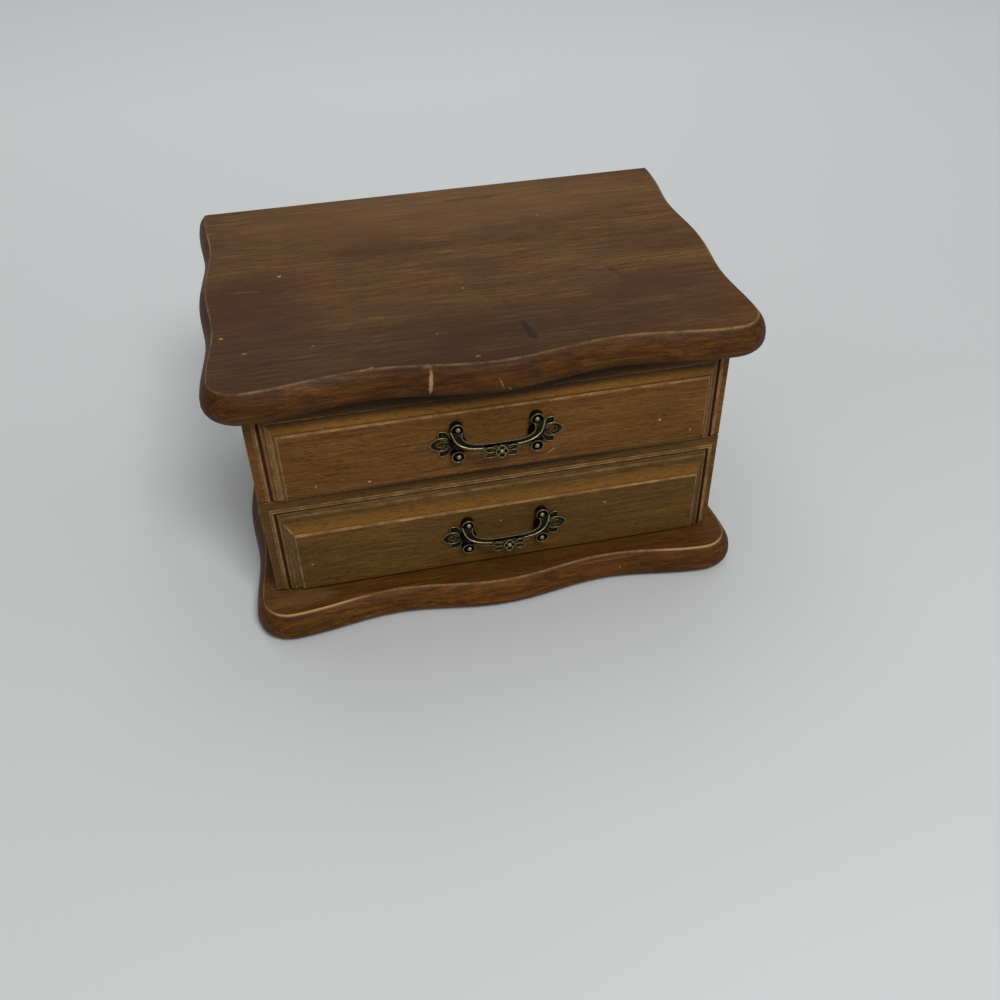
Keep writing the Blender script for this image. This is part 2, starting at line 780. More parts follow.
@dataclass(frozen=True)
class Card:
    """Grey-brown card, pressed from pulp: flat, matt, with short fibres in it."""

    name: str
    ground: str = "#85765c"
    fibre: str = "#6b5d47"
    fibre_size: float = 0.833
    depth: float = 0.1

    def material(self) -> bpy.types.Material:
        """Builds the material.

        Returns:
            The finished material.
        """
        g = Graph(self.name)
        mm = g.place_in_mm()
        pulp = g.add("ShaderNodeTexNoise", None, {
            "Vector": mm, "Scale": 1 / self.fibre_size, "Detail": 5.0}, "Fac")
        tone = g.add("ShaderNodeValToRGB", {"stops": [
            (0.35, linear(self.fibre)), (0.6, linear(self.ground))]}, {"Fac": pulp}, "Color")
        bump = g.add("ShaderNodeBump", None, {
            "Height": pulp, "Strength": 0.3, "Distance": self.depth * MM})
        return g.finish({"Base Color": tone, "Roughness": 0.85, "Normal": bump})


class Hand:
    """Shapes one mesh with Blender's own operators, as by hand."""

    def __init__(self, piece: bpy.types.Object) -> None:
        """Takes hold of a piece and opens it for editing.

        Args:
            piece: The piece to shape.
        """
        self.piece = piece
        only(piece)
        bpy.ops.object.mode_set(mode="EDIT")

    def __enter__(self) -> "Hand":
        """Returns the hand itself."""
        return self

    def __exit__(self, *_: Any) -> None:
        """Closes the piece again."""
        bpy.ops.object.mode_set(mode="OBJECT")

    def pick(self, test: Callable[[Vector], bool]) -> None:
        """Selects vertices by their place.

        Args:
            test: Says of a vertex's place in mm whether it is taken.
        """
        mesh = bmesh.from_edit_mesh(self.piece.data)
        for face in mesh.faces:
            face.select = False
        for edge in mesh.edges:
            edge.select = False
        for vertex in mesh.verts:
            vertex.select = bool(test(vertex.co / MM))
        mesh.select_flush_mode()
        bmesh.update_edit_mesh(self.piece.data)

    def pick_long_edges(self, least: float) -> None:
        """Selects the edges that run along X.

        Args:
            least: The least length along X that an edge has, in mm.
        """
        bpy.ops.mesh.select_mode(type="EDGE")
        mesh = bmesh.from_edit_mesh(self.piece.data)
        for edge in mesh.edges:
            edge.select = abs(edge.verts[0].co.x - edge.verts[1].co.x) > least * MM
        bmesh.update_edit_mesh(self.piece.data)

    def lay(self, where: Callable[[Vector], Vector]) -> None:
        """Lays the whole mesh somewhere else.

        Args:
            where: Gives the new place of a vertex from its old one, both in mm.
        """
        mesh = bmesh.from_edit_mesh(self.piece.data)
        for vertex in mesh.verts:
            vertex.co = where(vertex.co / MM) * MM
        bmesh.update_edit_mesh(self.piece.data)

    def face_user(self, least: float) -> None:
        """Selects the faces that face the user.

        Args:
            least: The least share of the normal that points at the user.
        """
        bpy.ops.mesh.select_mode(type="FACE")
        mesh = bmesh.from_edit_mesh(self.piece.data)
        for face in mesh.faces:
            face.select = -face.normal.y > least
        mesh.select_flush_mode()
        bmesh.update_edit_mesh(self.piece.data)

    def move(self, by: Place) -> None:
        """Moves what is selected, by millimetres."""
        bpy.ops.transform.translate(value=tuple(c * MM for c in by))


def only(*pieces: bpy.types.Object) -> None:
    """Selects some pieces and nothing else.

    Args:
        pieces: The pieces, of which the first one becomes active.
    """
    if bpy.context.object and bpy.context.object.mode != "OBJECT":
        bpy.ops.object.mode_set(mode="OBJECT")
    bpy.ops.object.select_all(action="DESELECT")
    for piece in pieces:
        piece.select_set(True)
    bpy.context.view_layer.objects.active = pieces[0]


def settle(piece: bpy.types.Object) -> bpy.types.Object:
    """Puts a piece's place, turn and scale into its mesh, so that its object has none.

    Args:
        piece: The piece.

    Returns:
        The same piece.
    """
    only(piece)
    bpy.ops.object.transform_apply(location=True, rotation=True, scale=True)
    return piece


def joined(name: str, pieces: Sequence[bpy.types.Object]) -> bpy.types.Object:
    """Joins pieces into one.

    Args:
        name: Name of the joined piece.
        pieces: Pieces to join.

    Returns:
        The joined piece.
    """
    for piece in pieces:
        settle(piece)
    only(*pieces)
    if len(pieces) > 1:
        bpy.ops.object.join()
    piece = bpy.context.view_layer.objects.active
    piece.name = name
    piece.data.name = name
    return piece


def copied(piece: bpy.types.Object, name: str) -> bpy.types.Object:
    """Copies a piece with a mesh of its own.

    Args:
        piece: The piece to copy, in the scene.
        name: Name of the copy.

    Returns:
        The copy.
    """
    twin = piece.copy()
    twin.data = piece.data.copy()
    twin.name = name
    twin.data.name = name
    bpy.context.scene.collection.objects.link(twin)
    return twin


def modified(piece: bpy.types.Object, kind: str, settings: dict[str, Any]) -> None:
    """Adds one modifier with its settings and applies it.

    Args:
        piece: The piece to change.
        kind: Blender's name of the modifier.
        settings: Its properties.
    """
    only(piece)
    modifier = piece.modifiers.new(kind.lower(), kind)
    for key, value in settings.items():
        setattr(modifier, key, value)
    bpy.ops.object.modifier_apply(modifier=modifier.name)


def dressed(piece: bpy.types.Object, material: bpy.types.Material) -> bpy.types.Object:
    """Gives a piece one material.

    Args:
        piece: The piece.
        material: Its material.

    Returns:
        The same piece.
    """
    piece.data.materials.clear()
    piece.data.materials.append(material)
    return piece


def dress_solids(finishes: dict[bpy.types.Material, Sequence[str]]) -> None:
    """Dresses solids of the part that keep their own mesh, and reports each one.

    Args:
        finishes: The names of the solids that each material goes on.
    """
    for material, nodes in finishes.items():
        for node in nodes:
            dressed(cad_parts[node], material)
            LOG.info("%s: %s", node, material.name)


def fitted(piece: bpy.types.Object, node: str, body: str) -> bpy.types.Object:
    """Puts a finished piece in the place of its solid, and reports it.

    Args:
        piece: The piece.
        node: Name of the solid that it replaces.
        body: The body that it moves with.

    Returns:
        The same piece.
    """
    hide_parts(node)
    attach(piece, body)
    LOG.info("%s: %d faces", piece.name, len(piece.data.polygons))
    return piece


def marked(piece: bpy.types.Object, worn: float) -> bpy.types.Object:
    """Marks a whole piece as rubbed.

    Args:
        piece: The piece.
        worn: How far it is rubbed, from 0 to 1.

    Returns:
        The same piece.
    """
    layer = piece.data.attributes.new(ARRIS, "FLOAT", "FACE")
    layer.data.foreach_set("value", [worn] * len(piece.data.polygons))
    return piece


def both_sides(start: float, side: Sequence[Point], end: float) -> list[Point]:
    """Draws an outline that is the same on both sides of its middle line.

    Args:
        start: Where it starts on the middle line.
        side: Its points on one side, as places along and off the middle line.
        end: Where it meets the middle line again.

    Returns:
        The points all round.
    """
    return [(start, 0.0), *side, (end, 0.0), *((along, -off) for along, off in reversed(side))]


def wire(points: Sequence[Place], radii: Sequence[float], closed: bool = False) -> bpy.types.Object:
    """Draws a round wire on a smooth curve.

    Args:
        points: Points that lead the curve, in mm.
        radii: The wire's radius at each point, in mm.
        closed: Joins the last point to the first one.

    Returns:
        The wire as a mesh.
    """
    data = bpy.data.curves.new("wire", "CURVE")
    data.dimensions, data.bevel_depth, data.bevel_resolution = "3D", MM, 2
    data.resolution_u, data.use_fill_caps = 4, True
    line = data.splines.new("NURBS")
    line.points.add(len(points) - 1)
    for point, place, radius in zip(line.points, points, radii):
        point.co = (*(c * MM for c in place), 1.0)
        point.radius = radius
    line.order_u = 4
    line.use_cyclic_u, line.use_endpoint_u = closed, not closed
    piece = bpy.data.objects.new("wire", data)
    bpy.context.scene.collection.objects.link(piece)
    only(piece)
    bpy.ops.object.convert(target="MESH")
    return bpy.context.object


def ball(place: Place, size: Place, segments: int = 20) -> bpy.types.Object:
    """Adds an oval ball.

    Args:
        place: Its middle, in mm.
        size: Its three widths, in mm.
        segments: Faces round it.

    Returns:
        The ball.
    """
    bpy.ops.object.select_all(action="DESELECT")
    bpy.ops.mesh.primitive_uv_sphere_add(segments=segments, ring_count=segments // 2, radius=0.5 * MM,
                                         location=tuple(c * MM for c in place))
    piece = bpy.context.object
    piece.scale = size
    return settle(piece)


def ring(place: Place, radius: float, thick: float, stretch: Place = (1.0, 1.0, 1.0)) -> bpy.types.Object:
    """Adds a ring that faces the user.

    Args:
        place: Its middle, in mm.
        radius: Radius of its middle line, in mm.
        thick: Radius of its section, in mm.
        stretch: How much wider, higher and deeper it is made.

    Returns:
        The ring.
    """
    bpy.ops.object.select_all(action="DESELECT")
    bpy.ops.mesh.primitive_torus_add(major_radius=radius * MM, minor_radius=thick * MM,
                                     major_segments=28, minor_segments=10,
                                     location=tuple(c * MM for c in place),
                                     rotation=(math.radians(90), 0.0, 0.0))
    piece = bpy.context.object
    piece.scale = stretch
    return settle(piece)


def turned(piece: bpy.types.Object, place: Place, angle: float) -> bpy.types.Object:
    """Turns a piece in the plane of the front and then moves it.

    Args:
        piece: The piece, modelled along +X.
        place: How far it is moved, in mm.
        angle: How far it is turned up, in degrees.

    Returns:
        The same piece.
    """
    piece.rotation_euler = (0.0, -math.radians(angle), 0.0)
    piece.location = tuple(c * MM for c in place)
    return settle(piece)


def taken_from(node: str, name: str, radius: float, segments: int = 2, turn: float = 25.0,
               clamp: bool = True) -> bpy.types.Object:
    """Makes a piece from a solid of the part: merged, with its edges eased and shaded smooth.

    The eased edges are marked on the mesh, so that a finish can wear them.

    Args:
        node: Name of the solid.
        name: Name of the new piece.
        radius: Width of the eased edges, in mm.
        segments: Faces across an eased edge.
        turn: Edges that turn by more degrees than this are eased.
        clamp: Narrows all the edges to what the smallest face has room for.

    Returns:
        The new piece, which still needs its body and its material.
    """
    piece = copied(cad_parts[node], name)
    piece.parent = None
    for key in list(piece.keys()):
        del piece[key]
    only(piece)
    bpy.ops.mesh.customdata_custom_splitnormals_clear()
    with Hand(piece) as hand:
        hand.pick(lambda p: True)
        bpy.ops.mesh.remove_doubles(threshold=0.001 * MM)
        bpy.ops.mesh.select_all(action="SELECT")
        bpy.ops.mesh.dissolve_limited(angle_limit=math.radians(0.2))
        bpy.ops.mesh.select_all(action="SELECT")
        bpy.ops.mesh.normals_make_consistent(inside=False)
    plain, eased = 0, 1
    piece.data.materials.clear()
    for _ in (plain, eased):
        piece.data.materials.append(None)
    faces = piece.data.polygons
    faces.foreach_set("material_index", [plain] * len(faces))
    modified(piece, "BEVEL", {"width": radius * MM, "segments": segments, "limit_method": "ANGLE",
                              "angle_limit": math.radians(turn), "use_clamp_overlap": clamp,
                              "material": eased,
                              "miter_outer": "MITER_ARC" if segments > 1 else "MITER_SHARP"})
    faces = piece.data.polygons
    marks = [float(face.material_index == eased) for face in faces]
    piece.data.attributes.new(ARRIS, "FLOAT", "FACE").data.foreach_set("value", marks)
    faces.foreach_set("material_index", [plain] * len(faces))
    only(piece)
    bpy.ops.object.shade_smooth_by_angle(angle=math.radians(40))
    modified(piece, "WEIGHTED_NORMAL", {"keep_sharp": True})
    return piece


@dataclass
class Boards:
    """The two serpentine boards, lid and base."""

    arris: float = 0.65

    def lid_finish(self) -> StainedWood:
        """Mixes the lid's finish: red-brown, darker towards the user, with the lid's own marks.

        Returns:
            The finish.
        """
        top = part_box("lid_board")[1].z / MM
        return StainedWood(
            "lid_stained_wood", ground="#5a3b1a", streak="#3c250f", glow="#7a5424", cloud="#4c2d15",
            edge_tone="#ecdcaa", end="#4a2f1c", crown=top, rub=0.62, pore=0.4,
            red=(
                Mark((-95.0, -22.0, top), (70.0, 80.0, 9.0), strength=0.5),
                Mark((80.0, -38.0, top), (70.0, 44.0, 9.0), strength=0.4)),
            pale=(
                Mark((-78.0, 12.6, top), (2.2, 1.3, 3.0)), Mark((-103.1, -32.8, top), (2.0, 1.4, 3.0)),
                Mark((-94.6, -46.0, top), (2.4, 1.0, 3.0)), Mark((-68.2, -46.7, top), (1.4, 1.0, 3.0)),
                Mark((-48.1, -67.4, top), (2.6, 1.2, 3.0)), Mark((-7.1, -69.0, top), (2.4, 1.2, 3.0)),
                Mark((-19.8, -49.6, top), (1.4, 0.8, 3.0)), Mark((-3.1, -16.4, top), (1.2, 0.8, 3.0)),
                Mark((43.4, 42.6, top), (0.8, 0.8, 3.0)),
                Mark((10.0, 62.0, top), (240.0, 66.0, 3.0), strength=0.1),
                Mark((-92.3, 2.0, top), (14.0, 0.6, 3.0), (0, 0, -4), 0.35),
                Mark((-26.6, -73.5, 122.5), (1.8, 12.0, 11.0), (0, 8, 0), 0.75),
                Mark((-27.4, -71.5, 128.0), (5.0, 4.0, 2.0), (0, 0, 0), 0.6),
                Mark((0.2, -75.0, 120.0), (0.7, 9.0, 7.0), (0, -18, 0), 0.6),
                Mark((3.4, -75.0, 117.0), (0.9, 9.0, 3.4), (0, -30, 0), 0.6)),
            dark=(
                Mark((0.8, -36.2, top), (1.3, 1.3, 3.0), strength=0.9),
                Mark((15.7, -54.5, top), (20.0, 4.2, 3.0), (0, 0, -83), 0.75),
                Mark((16.6, -59.5, top), (9.0, 5.6, 3.0), (0, 0, -83), 0.8),
                Mark((12.4, -36.0, top), (22.0, 5.0, 3.0), (0, 0, -80), 0.3),
                Mark((62.3, -16.0, top), (15.0, 4.0, 3.0), (0, 0, -66), 0.3),
                Mark((43.0, -43.9, top), (9.0, 6.0, 3.0), strength=0.3),
                Mark((18.5, 68.3, top), (36.0, 5.0, 3.0), strength=0.4),
                Mark((-30.0, -64.0, top), (236.0, 74.0, 3.0), strength=0.42)))

    def base_finish(self) -> StainedWood:
        """Mixes the base's finish: yellower than the lid, rubbed bright at its front corners.

        Returns:
            The finish.
        """
        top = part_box("base_board")[1].z / MM
        return StainedWood(
            "base_stained_wood", ground="#5b3a13", streak="#3d260f", glow="#764e1b", cloud="#4a2d11",
            edge_tone="#fff0c8", end="#432a14", crown=top, rub=0.55, pore=0.4,
            pale=(
                Mark((-71.5, -80.0, 4.0), (2.2, 4.0, 2.0)), Mark((-60.5, -79.0, 5.0), (1.8, 4.0, 1.6)),
                Mark((-49.6, -77.0, 9.7), (1.4, 4.0, 1.4)), Mark((-89.6, -78.0, 3.0), (1.4, 4.0, 1.4)),
                Mark((54.2, -77.0, 8.7), (1.6, 4.0, 1.2)),
                Mark((-88.0, -68.0, top), (30.0, 12.0, 3.0), strength=0.16)),
            rubbed=(
                Mark((-84.0, -76.0, top), (50.0, 26.0, 5.0)), Mark((88.0, -76.0, top), (44.0, 20.0, 5.0))))

    def build(self) -> None:
        """Builds both boards."""
        for node, body, name, finish in (
                ("lid_board", "lid", "lid_board_worn", self.lid_finish()),
                ("base_board", "case", "base_board_worn", self.base_finish())):
            piece = dressed(taken_from(node, name, self.arris, segments=3), finish.material())
            fitted(piece, node, body)


@dataclass
class Fronts:
    """The two moulded fronts with their raised fields.

    From outside to inside the moulding has a flat lip with a bead, a quirk, a quarter round, a
    hollow that rises to an arris, and the field's riser. What lies inside the lip is the bevel.
    """

    arris: float = 0.16
    # widths of the lip and of the bevel, in mm
    lip_left: float = 5.4
    lip_right: float = 4.4
    upper_lip_top: float = 2.1
    drawer_lip_top: float = 6.6
    bevel_left: float = 6.6
    bevel_right: float = 4.4
    bevel_top: float = 12.8
    # the share of the bevel outside the arris, the bead's distance outside the bevel, and the
    # place of the raised field, in mm
    round_share: float = 0.46
    bead_middle: float = 0.95
    field_y: float = -64.8

    def line(self, node: str, lip_top: float, inwards: float, off: float, strength: float,
             width: float = 0.45) -> Rim:
        """Finds one line of a front's moulding.

        Args:
            node: The front.
            lip_top: Width of its lip along the top, in mm.
            inwards: Share of the bevel that lies outside the line.
            off: Distance of the line outside that place, in mm.
            strength: How clearly the line shows.
            width: Half width of the line, in mm.

        Returns:
            The line.
        """
        low, high = (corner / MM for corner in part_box(node))
        return Rim(low.x + self.lip_left + inwards * self.bevel_left - off,
                   high.x - self.lip_right - inwards * self.bevel_right + off,
                   high.z - lip_top - inwards * self.bevel_top + off, width, strength)

    def lines(self, node: str, lip_top: float) -> tuple[Rim, ...]:
        """Finds the worn lines of a front.

        Args:
            node: The front.
            lip_top: Width of its lip along the top, in mm.

        Returns:
            The lines on its field's edge, its quarter round and its bead.
        """
        return (self.line(node, lip_top, 1.0, 0.1, 0.85),
                self.line(node, lip_top, 0.2, 0.0, 0.34, 0.9),
                self.line(node, lip_top, 0.0, self.bead_middle, 0.42, 0.7))

    def grooves(self, node: str, lip_top: float, foot: float) -> tuple[Rim, ...]:
        """Finds the dark lines of a front.

        Args:
            node: The front.
            lip_top: Width of its lip along the top, in mm.
            foot: How dark the line at the foot of the field's riser is.

        Returns:
            The lines in the quirk, under the arris and at the foot of the riser.
        """
        return (self.line(node, lip_top, 0.0, -0.25, 0.5, 0.5),
                self.line(node, lip_top, self.round_share, -0.3, 0.35, 0.5),
                self.line(node, lip_top, 1.0, 0.85, foot, 0.5))

    def bevel(self, node: str, lip_top: float, end_tone: str, shade: float) -> Bevel:
        """Finds the sloping strips round a front's field.

        Args:
            node: The front.
            lip_top: Width of its lip along the top, in mm.
            end_tone: Colour of the strips at the two ends.
            shade: How dark the top strip grows towards its outer line.

        Returns:
            The strips with their tones.
        """
        return Bevel(self.line(node, lip_top, self.round_share, 0.0, 1.0),
                     self.line(node, lip_top, 1.0, 0.3, 1.0), end_tone, shade)

    def upper_finish(self) -> StainedWood:
        """Mixes the upper front's finish: the warmest brown on the box.

        Returns:
            The finish.
        """
        node, lip, y = "false_front", self.upper_lip_top, self.field_y
        return StainedWood(
            "upper_front_stained_wood", ground="#6b461d", streak="#553413", glow="#815829",
            cloud="#603f17", rub=0.8, pore=0.5,
            rims=self.lines(node, lip), bevel=self.bevel(node, lip, "#85683f", 0.7),
            grime=0.4, grooves=self.grooves(node, lip, 0.6),
            dark=(
                Mark((0.0, y, 113.0), (260.0, 9.0, 21.0), strength=0.88),
                Mark((0.0, y, 66.8), (230.0, 9.0, 4.0), strength=0.85)),
            pale=(
                Mark((71.0, y, 81.8), (1.3, 2.0, 1.3)), Mark((23.8, y, 74.1), (5.6, 2.0, 0.6), (0, -31, 0)),
                Mark((-53.9, y, 71.7), (1.8, 2.0, 1.0)), Mark((-75.8, y, 73.2), (0.6, 2.0, 2.4)),
                Mark((85.3, y, 74.2), (0.9, 2.0, 1.8))))

    def drawer_finish(self) -> StainedWood:
        """Mixes the drawer front's finish: a duller, more olive brown.

        Returns:
            The finish.
        """
        node, lip, y = "drawer_front", self.drawer_lip_top, self.field_y
        return StainedWood(
            "drawer_front_stained_wood", ground="#5f421b", streak="#4b3213", glow="#725025",
            cloud="#553b18", rub=0.8, pore=0.5,
            rims=self.lines(node, lip), bevel=self.bevel(node, lip, "#644d32", 0.2),
            grime=0.4, grooves=self.grooves(node, lip, 0.25),
            dark=(Mark((0.0, y, 68.0), (260.0, 9.0, 12.0), strength=0.75),),
            pale=(
                Mark((48.8, y, 39.9), (1.0, 2.0, 1.0)), Mark((-82.9, y, 30.5), (1.2, 2.0, 1.0)),
                Mark((0.9, y, 38.7), (1.0, 2.0, 0.8)),
                Mark((-89.9, y + 1.5, 51.0), (9.0, 4.0, 0.7), (0, 62, 0), 0.7)))

    def build(self) -> None:
        """Builds both fronts."""
        for node, body, name, finish in (
                ("false_front", "case", "upper_front_moulded", self.upper_finish()),
                ("drawer_front", "drawer", "drawer_front_moulded", self.drawer_finish())):
            piece = taken_from(node, name, self.arris, turn=34.0, clamp=False)
            fitted(dressed(piece, finish.material()), node, body)


@dataclass
class Carcass:
    """Walls, floor, divider, runners and drawer box, which keep their solids."""

    walls: StainedWood = StainedWood(
        "side_wall_stained_wood", ground="#5e3c1c", streak="#4a2e15", glow="#704a26", cloud="#523418",
        grain=Grain.ALONG_Y, rub=0.5, rough=0.48)
    bare: StainedWood = StainedWood(
        "drawer_bare_wood", ground="#a98455", streak="#957147", glow="#b99566", cloud="#9f7a4d",
        worn="#c3a273", dirt="#6a4c2c", end="#a07c50", grain=Grain.ALONG_Y, rub=0.2, rough=0.62,
        gloss=0.2, pore=0.3)

    def build(self) -> None:
        """Gives each solid its wood, with the grain along its length."""
        across = replace(self.walls, name="back_wall_stained_wood", grain=Grain.ALONG_X)
        bare_across = replace(self.bare, name="drawer_back_bare_wood", grain=Grain.ALONG_X)
        dress_solids({
            self.walls.material(): ("side_wall_left", "side_wall_right", "compartment_divider"),
            across.material(): ("back_wall", "mirror_strips", "compartment_floor"),
            self.bare.material(): ("drawer_side_left", "drawer_side_right", "drawer_runners"),
            bare_across.material(): ("drawer_back", "drawer_bottom")})


@dataclass
class Linings:
    """Velvet in the compartment and the drawer, and felt under the base."""

    # in mm: the side of a face, how uneven the pile is, the room round a sheet, the width of
    # the even edge, and the eased edge of the felt
    step: float = 4.0
    nap: float = 0.06
    room: float = 0.2
    even_edge: float = 1.0
    felt_arris: float = 0.2
    velvet: Pile = Pile("dark_red_velvet", deep="#480f1b", lit="#6c1f2d", sheen=0.6)
    felt: Pile = Pile("dark_green_felt", deep="#1c2a20", lit="#3c4f3f", sheen=0.2, fibre=0.8)

    def sheet(self, node: str, name: str) -> bpy.types.Object:
        """Lays one velvet sheet in the space of its solid.

        Args:
            node: The solid that it stands for.
            name: Name of the sheet.

        Returns:
            The sheet, as a thin closed piece with a soft top.
        """
        low, high = (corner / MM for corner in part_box(node))
        size, middle = high - low, (high + low) / 2
        bpy.ops.object.select_all(action="DESELECT")
        bpy.ops.mesh.primitive_grid_add(
            x_subdivisions=round(size.x / self.step), y_subdivisions=round(size.y / self.step),
            size=1.0, location=(middle.x * MM, middle.y * MM, (high.z - self.nap) * MM))
        piece = bpy.context.object
        piece.name = piece.data.name = name
        piece.scale = ((size.x - 2 * self.room) * MM, (size.y - 2 * self.room) * MM, 1.0)
        settle(piece)
        reach = size / 2 - Vector((self.even_edge, self.even_edge, 0.0))
        with Hand(piece) as hand:
            hand.pick(lambda p: abs(p.x - middle.x) < reach.x and abs(p.y - middle.y) < reach.y)
            bpy.ops.transform.vertex_random(offset=self.nap * MM, uniform=0.0, normal=1.0, seed=7)
            bpy.ops.mesh.vertices_smooth(factor=0.5, repeat=1)
        modified(piece, "SOLIDIFY", {"thickness": (size.z - 2 * self.nap) * MM, "offset": -1.0})
        only(piece)
        bpy.ops.object.shade_smooth_by_angle(angle=math.radians(50))
        return piece

    def lay(self, piece: bpy.types.Object, node: str, slot: str, body: str, under: str) -> None:
        """Puts a sheet in the place of its solid, laid flat on a board.

        Args:
            piece: The sheet.
            node: The solid that it stands for.
            slot: The material slot.
            body: The body that it moves with.
            under: The board that it lies on.
        """
        fitted(piece, node, body)

    def build(self) -> None:
        """Builds the three sheets."""
        velvet = self.velvet.material()
        for node, name, body, under in (
                ("compartment_lining", "compartment_velvet", "case", "compartment_floor"),
                ("drawer_lining", "drawer_velvet", "drawer", "drawer_bottom")):
            self.lay(dressed(self.sheet(node, name), velvet), node, "velvet", body, under)
        felt = taken_from("base_felt", "base_felt_sheet", self.felt_arris, 1)
        self.lay(dressed(felt, self.felt.material()), "base_felt", "felt", "case", "base_board")


@dataclass
class Hardware:
    """Mirror, card, hinges and screws, which keep their solids."""

    def build(self) -> None:
        """Gives each solid its finish."""
        brass = PlainMetal("hinge_rolled_brass", bright="#c39a4e", dull="#8a6a30").material()
        steel = PlainMetal("screw_plated_steel", bright="#b7b5ae", dull="#7f7d77", rough=0.38).material()
        dress_solids({
            brass: ("hinge_case_leaves", "hinge_lid_leaves", "hinge_pins", "hinge_case_screws",
                    "hinge_lid_screws"),
            steel: ("base_screws", "upper_pull_screws", "lower_pull_screws"),
            SilveredGlass("mirror_silvered_glass").material(): ("mirror_glass",),
            Card("mirror_backing_card").material(): ("mirror_card",)})


@dataclass
class Pulls:
    """The two cast pulls: pierced leaf plates, scrolls with balls, a bowed bail and a flower.

    A pull is modelled about its own middle on the wood, one end first. Sizes are in mm.
    """

    post: float = 17.0
    tip: float = 28.3
    scroll_z: float = 7.2
    hub: Place = (7.0, 7.4, 6.4)
    flower: Place = (0.0, -9.8, 0.1)
    # angle in degrees, length and half width of the leaves, on each side of the plate
    leaves: tuple[Place, ...] = ((42.0, 8.6, 2.0), (82.0, 6.2, 1.7))
    # angle and length of the ribs on each side, and of the petals all round
    ribs: tuple[Point, ...] = ((12.0, 5.0), (27.0, 7.4), (58.0, 6.4))
    petals: tuple[Point, ...] = ((0.0, 2.4), (90.0, 2.7), (180.0, 2.4), (270.0, 3.2))
    petal_half: float = 1.25
    upper: Place = (0.0, -64.825, 86.1)
    lower: Place = (2.5, -64.825, 33.7)
    finish: AntiqueBrass = AntiqueBrass("antique_cast_brass")

    def lobe(self, length: float, half: float, worn: float = 0.6) -> bpy.types.Object:
        """Models one leaf along +X: a dished blade with a raised rim and a vein.

        Args:
            length: Its length from its root.
            half: Half its width.
            worn: How far its rim is rubbed, from 0 to 1.

        Returns:
            The leaf.
        """
        middle = 0.52 * length
        blade = ball((middle, -0.5, 0.0), (0.96 * length, 1.1, 1.9 * half), 24)
        with Hand(blade) as hand:
            hand.pick(lambda p: p.y < -0.5 and math.hypot(
                (p.x - middle) / (0.38 * length), p.z / (0.7 * half)) < 1)
            hand.move((0.0, 0.5, 0.0))
        around = both_sides(0.0, [(0.12, 0.42), (0.36, 1.02), (0.72, 1.12), (0.98, 0.5)], 1.06)
        rim = wire([(x * length, -0.95, z * half) for x, z in around], [0.23] * len(around), True)
        vein = wire([(0.0, -0.8, 0.0), (0.4 * length, -0.75, 0.0), (0.85 * length, -0.6, 0.0)],
                    [0.4, 0.28, 0.12])
        return joined("leaf", [marked(blade, 0.0), marked(rim, worn), marked(vein, 0.6 * worn)])

    def palmette(self) -> bpy.types.Object:
        """Models the leaf plate outside the right post, with an oval eye in its middle leaf.

        Returns:
            The plate.
        """
        root, hole = self.post + 0.6, self.post + 6.8
        parts = [turned(self.lobe(length, half), (root, 0.0, 0.0), side * angle)
                 for angle, length, half in self.leaves for side in (-1, 1)]
        parts.append(marked(ring((hole, -0.6, 0.0), 2.0, 0.75, (1.25, 1.0, 0.7)), 0.02))
        parts.append(marked(ring((hole, -1.05, 0.0), 1.35, 0.22, (1.2, 1.0, 1.0)), 0.35))
        around = both_sides(1.0, [(3.2, 2.4), (6.0, 3.5), (9.0, 2.7)], self.tip - self.post + 0.9)
        parts.append(marked(
            wire([(self.post + x, -1.1, z) for x, z in around], [0.26] * len(around), True), 0.7))
        for side in (-1, 1):
            for angle, length in self.ribs:
                rib = wire([(0.0, -1.3, 0.0), (0.5 * length, -1.35, 0.0), (length, -0.9, 0.0)],
                           [0.5, 0.36, 0.14])
                parts.append(turned(marked(rib, 0.4), (root, 0.0, 0.0), side * angle))
        parts.append(marked(ball((self.post - 0.6, -1.6, 0.4), self.hub), 0.0))
        return joined("palmette", parts)

    def scroll(self, place: Place, radius: float) -> bpy.types.Object:
        """Models a scroll: a round cup with a thick rim and a ball in it.

        Args:
            place: The middle of its open end.
            radius: Its outer radius.

        Returns:
            The scroll.
        """
        x, y, z = place
        wall, rim = 0.42, 0.3
        return joined("scroll", [
            marked(ball((x, -0.6, z), (2 * radius, 1.1, 2 * radius)), 0.0),
            marked(ring((x, y / 2, z), radius - wall, wall, (1.0, 1.0, -y / (2 * wall))), 0.03),
            marked(ring((x, y, z), radius - rim, rim), 0.55),
            marked(ball((x - 0.2, y - 0.1, z + 0.3), (2.5, 2.6, 2.5)), 0.8)])

    def bow(self, u: float) -> tuple[Vector, Vector]:
        """Finds the bail's middle line.

        Args:
            u: 0 at the flower and 1 at the upper scroll.

        Returns:
            The place, and the direction across the bail in the plane of the front.
        """
        lead = [Vector(p) for p in ((0.0, -8.7, 2.3), (8.0, -9.0, 2.1), (18.8, -7.2, 0.9),
                                    (self.post + 0.3, -3.9, self.scroll_z + 0.2))]
        v = 1 - u
        place = v ** 3 * lead[0] + 3 * v * v * u * lead[1] + 3 * v * u * u * lead[2] + u ** 3 * lead[3]
        way = v * v * (lead[1] - lead[0]) + 2 * v * u * (lead[2] - lead[1]) + u * u * (lead[3] - lead[2])
        return place, Vector((-way.z, 0.0, way.x)).normalized()

    def bail(self) -> bpy.types.Object:
        """Models the right half of the bail: a channelled band with a wire on each edge.

        Returns:
            The half bail, with the branch and the leaves under it.
        """
        cuts, lip, dip = 17, 0.3, 0.4

